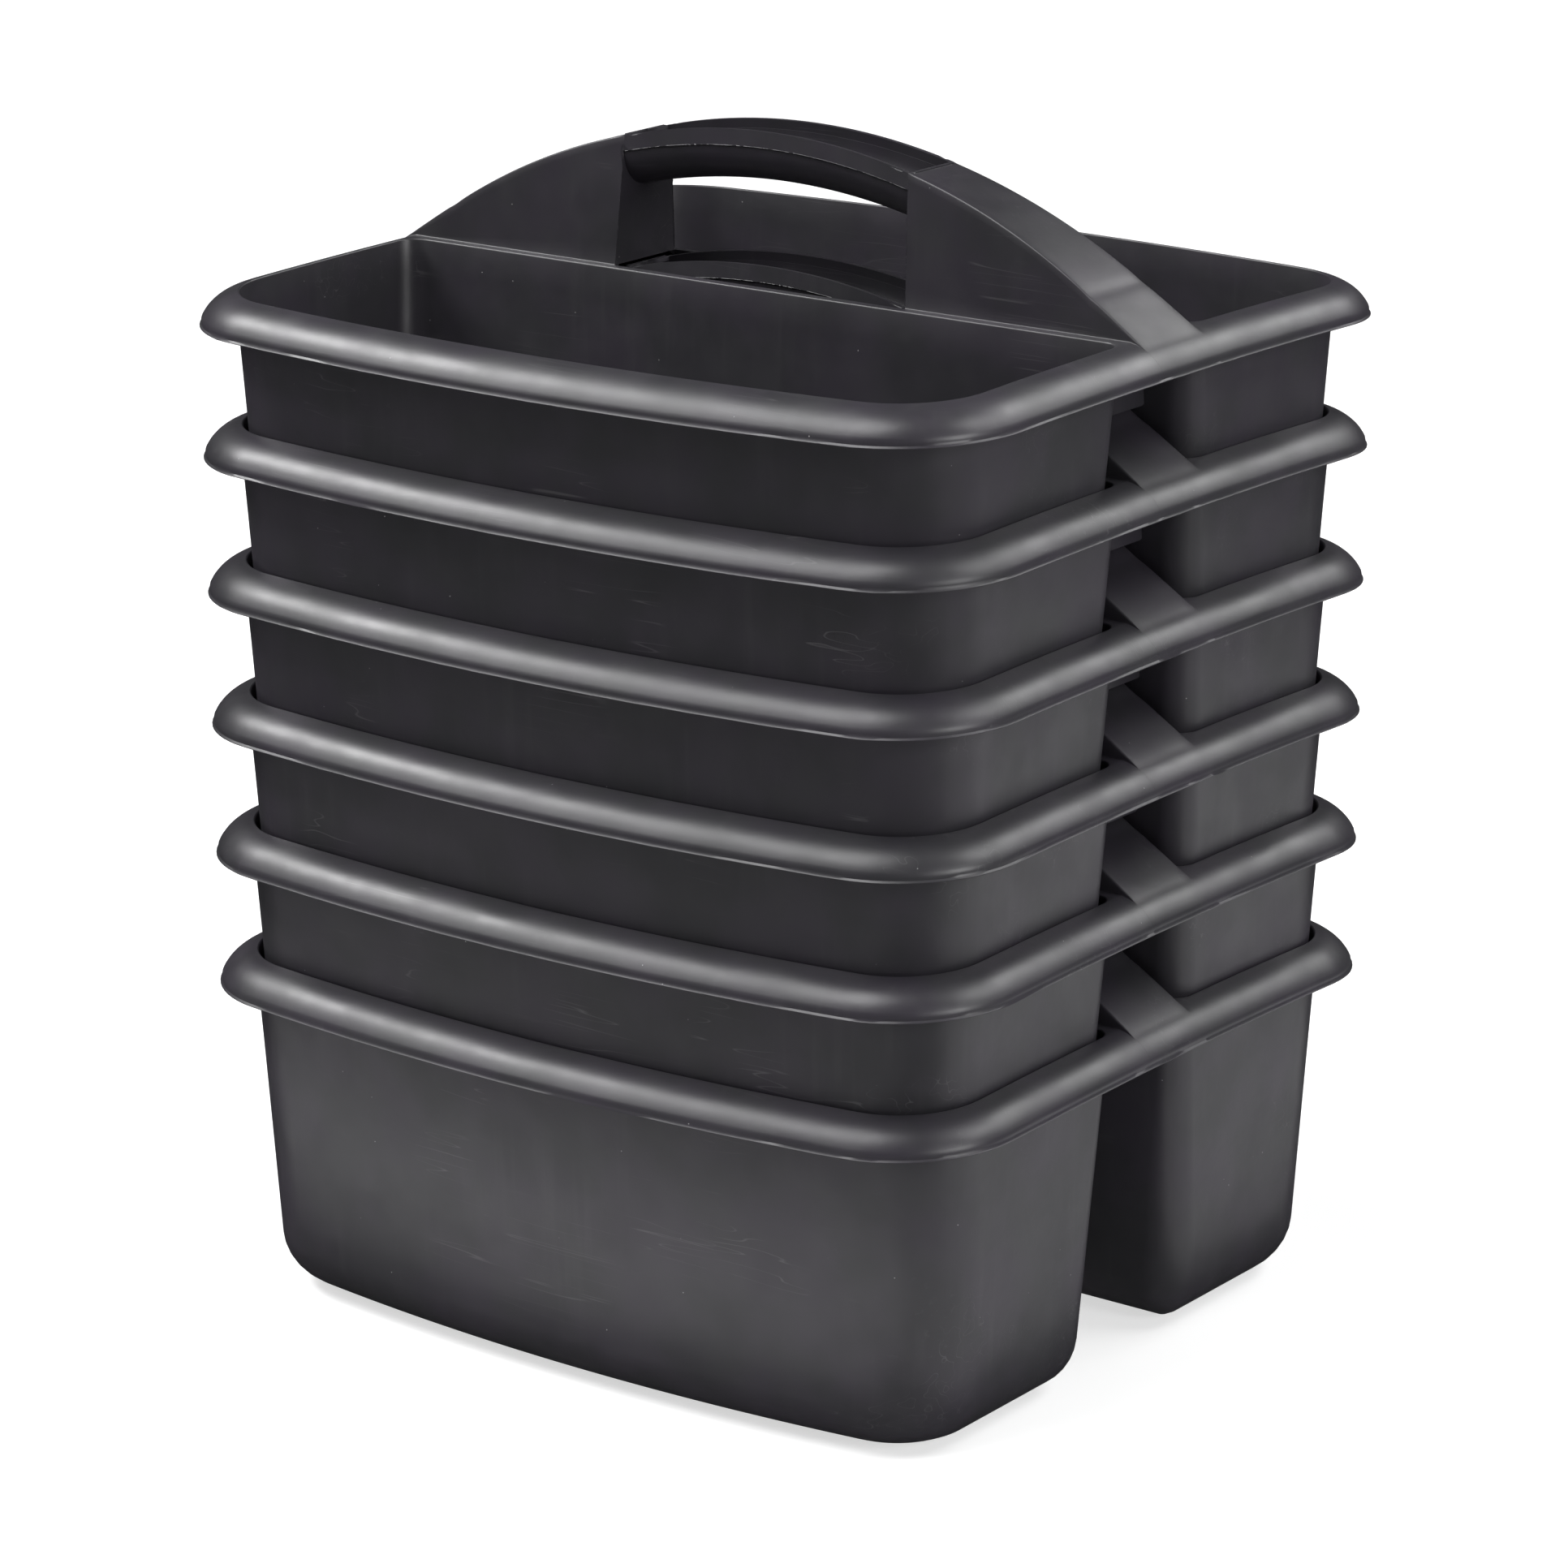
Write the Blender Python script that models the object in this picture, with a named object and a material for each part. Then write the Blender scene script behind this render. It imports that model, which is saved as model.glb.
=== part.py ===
"""A nested stack of six two-bin caddies, each one a single thin-walled moulding.

Frame: X runs along the long front side, Y from the front bin to the rear bin, Z up.
The origin lies under the middle of the stack, on the surface that it stands on.
Each caddy's own origin is the middle of its rim plane, on the vertical line along
which it lifts out of the caddy below.

One caddy is modelled as the skin seen from above: two tapered bins, the rolled rim
round them and the hollow arched handle between them. A quarter of it is built,
mirrored twice and given its wall thickness on the underside. The open grip and the
two stacking ribs are separate closed shapes joined on with a Boolean union.
"""
import bmesh
import bpy
from math import cos, pi, radians, sin, sqrt
from mathutils import Vector

# ---- the stack
CADDY_COUNT = 6
SEATED_PITCH = 0.0329                       # one caddy above the next, fully pushed down
UNSEATED = (0.0008, 0.0006, 0.0007, 0.0013, 0.0)   # how far each upper one still stands up

# ---- rim
RIM_LENGTH = 0.2350                         # over the lip, along X
RIM_DEPTH = 0.2150                          # over the lip, along Y
RIM_FLARE = 0.0096                          # from the bin's edge out to the lip
RIM_DROP = 0.0062                           # rounded part of the rim
LIP_HEIGHT = 0.0018                         # upright band under the rounded part
RIM_START = radians(8)                      # slope of the rounded part where it starts
RIM_END = radians(68)                       # and where it meets the lip band
RIM_CROWN = 0.0022                          # front and rear rims lie this much lower
RIM_BOW = 0.0100                            # how far the front rim bows out

# ---- bins
BIN_DEPTH = 0.0900                          # rim plane to the underside of the floor
WALL = 0.0011
OUTER_DRAFT = 0.043
DIVIDER_DRAFT = 0.063
BIN_BOW = 0.0080
DIVIDER_HALF = 0.0146                       # divider's middle to each bin's edge
OUTER_CORNER = 0.0215
OUTER_CORNER_GROWTH = 0.02                  # radius gained for each unit of depth
INNER_CORNER = 0.0050
FLOOR_FILLET = 0.0119
SMALLEST_CORNER = 0.0010

# ---- handle
ARCH_PEAK = 0.0373                          # ridge above the rim plane
ARCH_RADIUS = 0.178
FOOT_HALF = 0.0120                          # half width of the handle at the rim plane
FACE_LEAN = 0.085                           # inward lean of its front and rear faces
HOLE_HALF = 0.0440                          # half length of the hand hole
WEB_LEAN = 0.040
GRIP_BAND = 0.0040                          # upright band along each ridge of the grip
GRIP_DEPTH = 0.0132                         # ridge to the lowest point of the grip
GRIP_INSET = 0.00005                        # grip set back from the handle's faces
GRIP_EMBED = 0.0005                         # grip's ends run into the webs

# ---- stacking ribs between the bins
RIB_X = 0.0934
RIB_THICKNESS = 0.0012
RIB_BOTTOM = -0.0217
RIB_EMBED = 0.0006

# ---- segments
CORNER_STEPS = 4
INNER_CORNER_STEPS = 2
FRONT_STEPS = 3
FILLET_STEPS = 2
RIM_STEPS = 2
ARCH_STEPS = 4
GRIP_STEPS = 6
GRIP_ROUND_STEPS = 6

BLACK_PLASTIC = (0.022, 0.021, 0.023, 1.0)
PLASTIC_ROUGHNESS = 0.42

TOP_A = RIM_LENGTH / 2 - RIM_FLARE - 0.0002     # bin's inner edge, half length
TOP_B = RIM_DEPTH / 2 - RIM_FLARE - 0.0002      # bin's inner edge, half depth


def arch_height(x):
    """Height of the handle's arch above the rim plane."""
    return ARCH_PEAK - (ARCH_RADIUS - sqrt(ARCH_RADIUS ** 2 - x * x))


def face_half(height):
    """Half width of the handle between its leaning faces at a height."""
    return FOOT_HALF - FACE_LEAN * max(height, 0.0)


def arc(centre, radius, start, end, steps):
    """Points on an arc, ends included."""
    angles = [start + (end - start) * i / steps for i in range(steps + 1)]
    return [Vector((centre[0] + radius * cos(t), centre[1] + radius * sin(t))) for t in angles]


def corner_centre(half_x, half_y, bow, radius):
    """Centre of the fillet between the straight side and the bowed front side."""
    bow_radius = (half_x ** 2 + bow ** 2) / (2 * bow)
    centre_x = half_x - radius
    centre_y = bow_radius - half_y - sqrt((bow_radius - radius) ** 2 - centre_x ** 2)
    return Vector((centre_x, centre_y)), bow_radius


def half_outline(half_x, half_y, divider, corner, inner_corner, bow):
    """Right half of the front bin's outline, from the divider round to the front's middle.

    Returns the divider points, the small inner corner, and the side with the large
    corner and the bowed front. Neighbouring lists share their end point.
    """
    flat_end = half_x - inner_corner
    divider_points = [Vector((x * flat_end, -divider)) for x in DIVIDER_STATIONS]
    small = arc((flat_end, -divider - inner_corner), inner_corner, pi / 2, 0, INNER_CORNER_STEPS)
    centre, bow_radius = corner_centre(half_x, half_y, bow, corner)
    bow_centre = Vector((0, bow_radius - half_y))
    meet = centre - bow_centre
    turn = -pi / 2 + abs(Vector((0, -1)).angle(meet))
    large = arc(centre, corner, 0, turn, CORNER_STEPS)
    front = arc(bow_centre, bow_radius, turn, -pi / 2, FRONT_STEPS)
    return divider_points, small, [small[-1]] + large + front[1:]


def bin_outline(depth, inset):
    """The bin's outline at a depth below the rim plane, pulled in by the floor fillet."""
    return half_outline(
        TOP_A - OUTER_DRAFT * depth - inset,
        TOP_B - OUTER_DRAFT * depth - inset,
        DIVIDER_HALF + DIVIDER_DRAFT * depth + inset,
        max(OUTER_CORNER + OUTER_CORNER_GROWTH * depth - inset, SMALLEST_CORNER),
        max(INNER_CORNER - inset, SMALLEST_CORNER),
        BIN_BOW,
    )


def arch_stations():
    """Places along X at which the handle has a cross-section, web to bin corner."""
    last = TOP_A - INNER_CORNER
    return [HOLE_HALF + (last - HOLE_HALF) * i / ARCH_STEPS for i in range(ARCH_STEPS + 1)]


DIVIDER_STATIONS = [0.0] + [x / (TOP_A - INNER_CORNER) for x in arch_stations()]


def crowned(x, y, z):
    """A point of the rim plane, with the rim's slight fall towards front and rear."""
    return Vector((x, y, z - RIM_CROWN * (2 * y / RIM_DEPTH) ** 2))


def rim_profile():
    """Steps outward and downward of the rim's cross-section."""
    steps = []
    for i in range(RIM_STEPS + 1):
        slope = RIM_START + (RIM_END - RIM_START) * i / RIM_STEPS
        out = (sin(slope) - sin(RIM_START)) / (sin(RIM_END) - sin(RIM_START))
        down = (cos(RIM_START) - cos(slope)) / (cos(RIM_START) - cos(RIM_END))
        steps.append((RIM_FLARE * out, -RIM_DROP * down))
    steps.append((RIM_FLARE + 0.0002, -RIM_DROP - LIP_HEIGHT))
    return steps


def add_strip(mesh, row_a, row_b):
    """Quads between two rows of points, leaving out the ones without area."""
    for i in range(len(row_a) - 1):
        corners = [row_a[i], row_a[i + 1], row_b[i + 1], row_b[i]]
        kept = [p for j, p in enumerate(corners) if (p - corners[j - 1]).length > 1e-6]
        if len(kept) > 2:
            mesh.faces.new([mesh.verts.new(p) for p in kept])


def add_bin(mesh):
    """Right half of the front bin: wall, floor fillet and floor."""
    fillet_top = BIN_DEPTH - WALL - FLOOR_FILLET
    levels = [(0.0, 0.0), (fillet_top, 0.0)]
    for i in range(1, FILLET_STEPS + 1):
        turn = pi / 2 * i / FILLET_STEPS
        levels.append((fillet_top + FLOOR_FILLET * sin(turn), FLOOR_FILLET * (1 - cos(turn))))
    rings = []
    for depth, inset in levels:
        divider, small, outer = bin_outline(depth, inset)
        ring = divider + small[1:] + outer[1:]
        if depth == 0.0:
            rings.append([crowned(p.x, p.y, 0.0) for p in ring])
        else:
            rings.append([Vector((p.x, p.y, -depth)) for p in ring])
    for upper, lower in zip(rings, rings[1:]):
        add_strip(mesh, upper, lower)
    mesh.faces.new([mesh.verts.new(p) for p in reversed(rings[-1])])


def handle_columns(x, z_base, z_top):
    """One cross-section of the handle: bin edge, foot, edge of the strap, middle."""
    edge = face_half(z_top - z_base)
    return [
        crowned(x, -DIVIDER_HALF, z_base),
        crowned(x, -FOOT_HALF, z_base),
        Vector((x, -edge, z_top)),
        Vector((x, 0.0, z_top)),
    ]


def add_rim_and_handle(mesh):
    """Right front quarter of the rim, the handle's strap and face, and its web."""
    profile = rim_profile()
    rows = []
    for out, z in profile:
        x = TOP_A + out
        columns = handle_columns(x, z, max(arch_height(x), z))
        share = out / RIM_FLARE
        outer = half_outline(
            x, TOP_B + out, DIVIDER_HALF, OUTER_CORNER + out, INNER_CORNER + out,
            BIN_BOW + (RIM_BOW - BIN_BOW) * share)[2]
        start = Vector((x, -DIVIDER_HALF - INNER_CORNER))
        around = [crowned(p.x, p.y, z) for p in [start] + outer[1:]]
        rows.append(columns[::-1] + around)
    for inner, outer in zip(rows, rows[1:]):
        add_strip(mesh, inner, outer)

    sections = [handle_columns(x, 0.0, arch_height(x)) for x in arch_stations()]
    lean_x = HOLE_HALF - WEB_LEAN * arch_height(HOLE_HALF)
    for i in (2, 3):
        sections[0][i].x = lean_x
    sections.append(rows[0][:4][::-1])
    for near, far in zip(sections, sections[1:]):
        add_strip(mesh, near, far)

    small = bin_outline(0.0, 0.0)[1]
    corner = crowned(TOP_A, -DIVIDER_HALF, 0.0)
    points = [crowned(p.x, p.y, 0.0) for p in small]
    for a, b in zip(points, points[1:]):
        mesh.faces.new([mesh.verts.new(p) for p in (corner, a, b)])

    foot = sections[0][1]
    web_foot = [foot, Vector((foot.x, 0.0, 0.0))]
    add_strip(mesh, web_foot, sections[0][2:])


def caddy_skin():
    """The whole visible skin, from its right front quarter."""
    mesh = bmesh.new()
    add_bin(mesh)
    add_rim_and_handle(mesh)
    bmesh.ops.remove_doubles(mesh, verts=mesh.verts, dist=1e-6)
    for axis in range(2):
        copy = bmesh.ops.duplicate(mesh, geom=mesh.verts[:] + mesh.edges[:] + mesh.faces[:])
        for item in copy["geom"]:
            if isinstance(item, bmesh.types.BMVert):
                item.co[axis] = -item.co[axis]
        flipped = [f for f in copy["geom"] if isinstance(f, bmesh.types.BMFace)]
        bmesh.ops.reverse_faces(mesh, faces=flipped)
        bmesh.ops.remove_doubles(mesh, verts=mesh.verts, dist=1e-6)
    bmesh.ops.recalc_face_normals(mesh, faces=mesh.faces)
    floor = min(mesh.faces, key=lambda f: f.calc_center_median().z)
    if floor.normal.z < 0:
        bmesh.ops.reverse_faces(mesh, faces=mesh.faces)
    return mesh


def grip_profile(x):
    """Closed cross-section of the U-shaped grip at a place along the arch."""
    ridge = arch_height(x) - GRIP_INSET
    loops = []
    for inset in (0.0, WALL):
        half_top = face_half(ridge) - GRIP_INSET - inset
        half_low = face_half(ridge - GRIP_BAND) - GRIP_INSET - inset
        low = ridge - GRIP_BAND
        fall = GRIP_DEPTH - GRIP_BAND - inset
        turns = [pi * i / GRIP_ROUND_STEPS for i in range(GRIP_ROUND_STEPS + 1)]
        loop = [Vector((x, -half_top, ridge))]
        loop += [Vector((x, -half_low * cos(t), low - fall * sin(t))) for t in turns]
        loop.append(Vector((x, half_top, ridge)))
        loops.append(loop)
    return loops[0] + loops[1][::-1]


def add_grip(mesh):
    """The grip: a U-shaped channel bent along the arch between the two webs."""
    end = HOLE_HALF - WEB_LEAN * arch_height(HOLE_HALF) + GRIP_EMBED
    places = [-end + 2 * end * i / GRIP_STEPS for i in range(GRIP_STEPS + 1)]
    rings = [[mesh.verts.new(p) for p in grip_profile(x)] for x in places]
    count = len(rings[0])
    for near, far in zip(rings, rings[1:]):
        for i in range(count):
            j = (i + 1) % count
            mesh.faces.new((near[i], near[j], far[j], far[i]))
    for ring in (rings[0][::-1], rings[-1]):
        for i in range(count // 2 - 1):
            mesh.faces.new((ring[i], ring[i + 1], ring[count - 2 - i], ring[count - 1 - i]))


def add_rib(mesh, side):
    """A plate between the bins, which stands on the handle of the caddy below."""
    top = arch_height(RIB_X) - RIB_EMBED
    back = WALL - RIB_EMBED
    corners = [
        (DIVIDER_HALF - DIVIDER_DRAFT * RIB_BOTTOM - back, RIB_BOTTOM),
        (DIVIDER_HALF - back, -WALL),
        (FOOT_HALF - back, -WALL + RIB_EMBED),
        (face_half(top) - back, top),
    ]
    outline = corners + [(-y, z) for y, z in reversed(corners)]
    faces = []
    for x in (RIB_X, RIB_X + RIB_THICKNESS):
        faces.append([mesh.verts.new((side * x, y, z)) for y, z in outline])
    near, far = faces
    mesh.faces.new(near)
    mesh.faces.new(far[::-1])
    for i in range(len(outline)):
        j = (i + 1) % len(outline)
        mesh.faces.new((near[j], near[i], far[i], far[j]))


def mesh_object(name, source):
    """A linked object made from a bmesh, which is then freed."""
    data = bpy.data.meshes.new(name)
    source.to_mesh(data)
    source.free()
    item = bpy.data.objects.new(name, data)
    bpy.context.scene.collection.objects.link(item)
    return item


def moulding():
    """One caddy as finished mesh data."""
    fittings = bmesh.new()
    add_grip(fittings)
    for side in (-1, 1):
        add_rib(fittings, side)
    bmesh.ops.recalc_face_normals(fittings, faces=fittings.faces)
    cutter = mesh_object("grip_and_ribs", fittings)
    cutter.hide_render = True
    cutter.display_type = "WIRE"

    shell = mesh_object("shell", caddy_skin())
    thick = shell.modifiers.new("wall", "SOLIDIFY")
    thick.thickness = WALL
    thick.offset = -1.0
    thick.use_even_offset = True
    join = shell.modifiers.new("join", "BOOLEAN")
    join.operation = "UNION"
    join.solver = "EXACT"
    join.object = cutter
    bpy.context.view_layer.update()
    view = bpy.context.evaluated_depsgraph_get()
    data = bpy.data.meshes.new_from_object(shell.evaluated_get(view))
    bpy.data.objects.remove(shell)
    bpy.data.objects.remove(cutter)
    data.name = "caddy"
    data.shade_smooth()
    data.set_sharp_from_angle(angle=radians(35))
    return data


def plastic():
    """Satin black moulded plastic."""
    material = bpy.data.materials.new("black_plastic")
    material.use_nodes = True
    shader = material.node_tree.nodes["Principled BSDF"]
    shader.inputs["Base Color"].default_value = BLACK_PLASTIC
    shader.inputs["Roughness"].default_value = PLASTIC_ROUGHNESS
    shader.inputs["Metallic"].default_value = 0.0
    return material


def build():
    for old in list(bpy.data.objects):
        bpy.data.objects.remove(old, do_unlink=True)
    data = moulding()
    data.materials.clear()
    below = None
    height = BIN_DEPTH
    for number in range(1, CADDY_COUNT + 1):
        caddy = bpy.data.objects.new("caddy_%d" % number, data.copy())
        caddy.data.materials.append(plastic())
        bpy.context.scene.collection.objects.link(caddy)
        if below is None:
            caddy.location.z = height
        else:
            caddy.parent = below
            caddy.location.z = SEATED_PITCH + UNSEATED[number - 2]
        below = caddy


build()
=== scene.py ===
"""Looks for the nested stack of six two-bin caddies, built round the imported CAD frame.

Every caddy is one satin black moulding. Its detailed skin (bins, rolled rim, hollow
arched handle), grip, stacking ribs and mould flash are made here in mesh code, in the
caddy's own coordinates: the origin is the middle of the rim plane, X runs along the
long side, Y from the front bin to the rear bin. Lengths are in metres.
"""

from math import cos, exp, pi, radians, sin, sqrt

import bmesh
import bpy
from mathutils import Matrix, Vector, noise


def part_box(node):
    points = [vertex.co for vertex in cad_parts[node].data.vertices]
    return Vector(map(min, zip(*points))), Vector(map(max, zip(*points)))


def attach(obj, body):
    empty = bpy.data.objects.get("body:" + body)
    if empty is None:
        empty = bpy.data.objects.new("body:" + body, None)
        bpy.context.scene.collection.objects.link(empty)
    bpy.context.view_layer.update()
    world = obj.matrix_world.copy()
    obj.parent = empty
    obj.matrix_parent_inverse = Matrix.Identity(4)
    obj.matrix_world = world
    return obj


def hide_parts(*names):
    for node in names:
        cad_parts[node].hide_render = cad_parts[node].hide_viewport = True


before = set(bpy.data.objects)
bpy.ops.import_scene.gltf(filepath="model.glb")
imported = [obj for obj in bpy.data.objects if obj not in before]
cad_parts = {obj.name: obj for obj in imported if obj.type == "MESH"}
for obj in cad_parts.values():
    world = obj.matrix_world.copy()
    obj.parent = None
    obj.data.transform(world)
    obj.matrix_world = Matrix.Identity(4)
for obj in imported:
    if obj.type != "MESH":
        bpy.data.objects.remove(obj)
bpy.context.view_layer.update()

# ---- one caddy, the sizes of the CAD model
RIM_LENGTH = 0.2350
RIM_DEPTH = 0.2150
RIM_FLARE = 0.0096  # from the bin's edge out to the lip
RIM_DROP = 0.0062  # from the bin's edge down to the lip
LIP_HEIGHT = 0.0018
RIM_START = radians(8)  # slope of the rolled rim at the bin's edge
RIM_END = radians(68)  # and at the lip
RIM_CROWN = 0.0022  # fall of the rim from its middle to its front and rear
RIM_BOW = 0.0100  # outward bow of the rim's front
BIN_DEPTH = 0.0900
WALL = 0.0011
OUTER_DRAFT = 0.043  # leans, per unit of depth
DIVIDER_DRAFT = 0.063
BIN_BOW = 0.0080
DIVIDER_HALF = 0.0146  # from the middle to a bin's edge
OUTER_CORNER = 0.0215  # corner radii at the rim, and their growth per unit of depth
OUTER_CORNER_GROWTH = 0.02
INNER_CORNER = 0.0050
INNER_CORNER_GROWTH = 0.04
FLOOR_FILLET = 0.0119
ARCH_PEAK = 0.0373
ARCH_RADIUS = 0.178
FOOT_HALF = 0.0120  # half width of the handle at its foot
FACE_LEAN = 0.085  # lean of its faces, per unit of height
HOLE_HALF = 0.0440  # half length of the hand hole
WEB_LEAN = 0.040  # lean of the webs at the hand hole's ends
GRIP_BAND = 0.0040  # height of the flat band above the hand hole
GRIP_DEPTH = 0.0132  # from the arch's top to the grip's lowest point
RIB_X = 0.0934
RIB_THICKNESS = 0.0012
RIB_BOTTOM = -0.0217

# ---- small details of the moulding
EDGE_ROUND = 0.00042  # rounding of the bin's upper edge
CROWN_DEPTH = 0.03  # how far down the bin the rim's crown dies out
FLOOR_MARGIN = 0.0015  # between the floor's fillet and the floor's last ring
FOOT_FILLET = 0.00025  # inside corner along the handle's foot
STRAP_ROUND = 0.00045  # rounding along the strap's long edges
ROUND_MARGIN = 0.0002  # flat height left between the two
ROUND_LEAD = 0.0002  # the rounding starts this far inside the hand hole's end
ROUND_RUN = 0.0015  # and is full this much further on
LEAN_RUN = 0.015  # from the web to where the strap's sections stand upright
LIP_TOP_OUT = 0.00008  # the lip's small steps outside the flare
LIP_TOP_DOWN = 0.0006
LIP_OUT = 0.00012
LIP_FLARE = 0.00037  # bead along the lip's lower edge
LIP_BEAD = 0.00058
LIP_ALLOWANCE = 0.0002  # kept free for the lip outside the flare
LIP_WAVE = 0.00012  # unevenness of the lip's lower edge: waves of some millimetres
LIP_NICK = 0.00010  # and nicks of about one
GRIP_EDGE = 0.00045  # rounding of the grip's upper edges
GRIP_STEP = 0.00035  # grip's round part behind the band's face
GRIP_OVERLAP = 0.0016  # how far it goes up behind the band
WEB_TOP = 0.030  # height at which the grip meets the web
INTO_WALL = 0.0006  # how far the ribs and the grip reach into a wall
RIB_ROUND = 0.00035
FLASH_ROOT = 0.0001  # how far the mould flash starts inside the face
FLASH_GAP = 0.0014  # between the band's flash and the hand hole's end
FLASH_RISE = 0.00005  # of the band's flash above its lower edge
FLASH_HEIGHT = 0.00030
FLASH_WIDTH = 0.00022
WEB_FLASH_START = 0.0004  # height where the web's flash begins
WEB_FLASH_LENGTH = 0.0272
WEB_FLASH_HEIGHT = 0.00026
WEB_FLASH_WIDTH = 0.00020
STRAIGHT_X = 0.0930  # where the strap leaves the arch's circle
STRAP_END_CURVE = 1.66  # its curvature from there to the rim, per metre
STRAP_END_X = 0.1115  # where it dies out into the rim
STRAP_END_RUN = 0.0028
SINK_X = 0.0958  # sink line across the strap, just outside the rib
SINK_DEPTH = 0.00017
SINK_WIDTH = 0.0017

# ---- segments
CORNER_STEPS = 16
INNER_CORNER_STEPS = 8
HALF_CORNER_STEPS = INNER_CORNER_STEPS // 2
SIDE_STEPS = 4
FRONT_STEPS = 16
EDGE_STEPS = 3
WALL_LEVELS = 10
FILLET_STEPS = 8
RIM_STEPS = 14
ARCH_STEPS = 64
FACE_STEPS = 6
BAND_STEPS = 2
STRAP_STEPS = 5
WEB_STEPS = 6
HOLE_STEPS = 22
GRIP_STEPS = 60
GRIP_ROUND_STEPS = 22
FLASH_STEPS = 90  # on each half of the band's lower edge
WEB_FLASH_STEPS = 72
LEDGE_COUNT = EDGE_STEPS + 1  # points of section() on the ledge
STRAP_FIRST = LEDGE_COUNT + FACE_STEPS + 1 + BAND_STEPS + 2  # its point where the strap begins

# ---- limits
MERGE = 4e-6  # points nearer than this are one
NO_LENGTH = 2e-6  # a face's side shorter than this is left out
ON_RIM = 1.02  # a point is on the rim past this share of TOP_A or TOP_B
ABOVE_LEDGE = 0.0005  # a face higher than this is a band's or a web's
MOSTLY = 0.7  # least part of a normal that gives a face's direction
MOST_SHELL = 1.35  # most that a wall is thickened at a sharp corner, in wall thicknesses
RIDGE_SHARE = 0.95  # part of the grip's upper edge that is rounded
RIDGE_NEAR = 0.0003  # how near the arch its points are

TOP_A = RIM_LENGTH / 2 - RIM_FLARE - LIP_ALLOWANCE
TOP_B = RIM_DEPTH / 2 - RIM_FLARE - LIP_ALLOWANCE
SMALL_RADIUS = INNER_CORNER + EDGE_ROUND
FLAT_END = TOP_A - INNER_CORNER  # where the bin's straight inner side ends
ARCH_PLACES = [HOLE_HALF + (FLAT_END - HOLE_HALF) * i / ARCH_STEPS
               for i in range(ARCH_STEPS + 1)]
HOLE_PLACES = [HOLE_HALF * i / HOLE_STEPS for i in range(HOLE_STEPS)]
STATIONS = [x / FLAT_END for x in HOLE_PLACES + ARCH_PLACES]


def smooth(t):
    """Smooth step from 0 to 1."""
    t = min(max(t, 0.0), 1.0)
    return t * t * (3 - 2 * t)


def arch_height(x):
    """Height of the arch's circle."""
    return ARCH_PEAK - (ARCH_RADIUS - sqrt(ARCH_RADIUS ** 2 - x * x))


def face_half(height):
    """Half the handle's width at a height."""
    return FOOT_HALF - FACE_LEAN * max(height, 0.0)


def arc(centre, radius, start, end, steps):
    """Points of an arc, from one angle to another."""
    angles = [start + (end - start) * i / steps for i in range(steps + 1)]
    return [Vector((centre[0] + radius * cos(t), centre[1] + radius * sin(t))) for t in angles]


def half_outline(half_x, half_y, divider, corner, inner_corner, bow):
    """Right half of the front bin's outline: divider, small corner, then side and front."""
    flat_end = half_x - inner_corner
    divider_points = [Vector((x * flat_end, -divider)) for x in STATIONS]
    small = arc((flat_end, -divider - inner_corner), inner_corner, pi / 2, 0,
                INNER_CORNER_STEPS)
    bow_radius = (half_x ** 2 + bow ** 2) / (2 * bow)
    centre_x = half_x - corner
    centre_y = bow_radius - half_y - sqrt((bow_radius - corner) ** 2 - centre_x ** 2)
    centre = Vector((centre_x, centre_y))
    bow_centre = Vector((0, bow_radius - half_y))
    turn = -pi / 2 + abs(Vector((0, -1)).angle(centre - bow_centre))
    large = arc(centre, corner, 0, turn, CORNER_STEPS)
    front = arc(bow_centre, bow_radius, turn, -pi / 2, FRONT_STEPS)
    first, last = small[-1], large[0]
    side = [first.lerp(last, i / SIDE_STEPS) for i in range(SIDE_STEPS)]
    return divider_points, small, side + large + front[1:]


def bin_outline(depth, inset):
    """half_outline() of the bin's wall at a depth, moved inwards by inset."""
    return half_outline(
        TOP_A - OUTER_DRAFT * depth - inset,
        TOP_B - OUTER_DRAFT * depth - inset,
        DIVIDER_HALF + DIVIDER_DRAFT * depth + inset,
        max(OUTER_CORNER + OUTER_CORNER_GROWTH * depth - inset, 0.001),
        max(INNER_CORNER + INNER_CORNER_GROWTH * depth - inset, 0.0006),
        BIN_BOW,
    )


def crowned(x, y, z):
    """A point with the rim's crown added."""
    return Vector((x, y, z - RIM_CROWN * (2 * y / RIM_DEPTH) ** 2))


def rim_profile():
    """Outward and downward steps of the rim, from the bin's rounded edge to the lip."""
    steps = [(EDGE_ROUND, 0.0)]
    for i in range(1, RIM_STEPS + 1):
        slope = RIM_START + (RIM_END - RIM_START) * i / RIM_STEPS
        out = (sin(slope) - sin(RIM_START)) / (sin(RIM_END) - sin(RIM_START))
        down = (cos(RIM_START) - cos(slope)) / (cos(RIM_START) - cos(RIM_END))
        steps.append((RIM_FLARE * out, -RIM_DROP * down))
    low = -RIM_DROP - LIP_HEIGHT
    steps.append((RIM_FLARE + LIP_TOP_OUT, -RIM_DROP - LIP_TOP_DOWN))
    steps.append((RIM_FLARE + LIP_OUT, low + LIP_BEAD))
    steps.append((RIM_FLARE + LIP_OUT + LIP_FLARE, low + LIP_BEAD * 0.3))
    steps.append((RIM_FLARE + LIP_OUT + LIP_FLARE, low))
    return steps


def add_strip(mesh, row_a, row_b):
    """Quads between two rows of points, leaving out the ones without area."""
    for i in range(len(row_a) - 1):
        corners = [row_a[i], row_a[i + 1], row_b[i + 1], row_b[i]]
        kept = [p for j, p in enumerate(corners) if (p - corners[j - 1]).length > NO_LENGTH]
        if len(kept) > 2:
            mesh.faces.new([mesh.verts.new(p) for p in kept])


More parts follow.
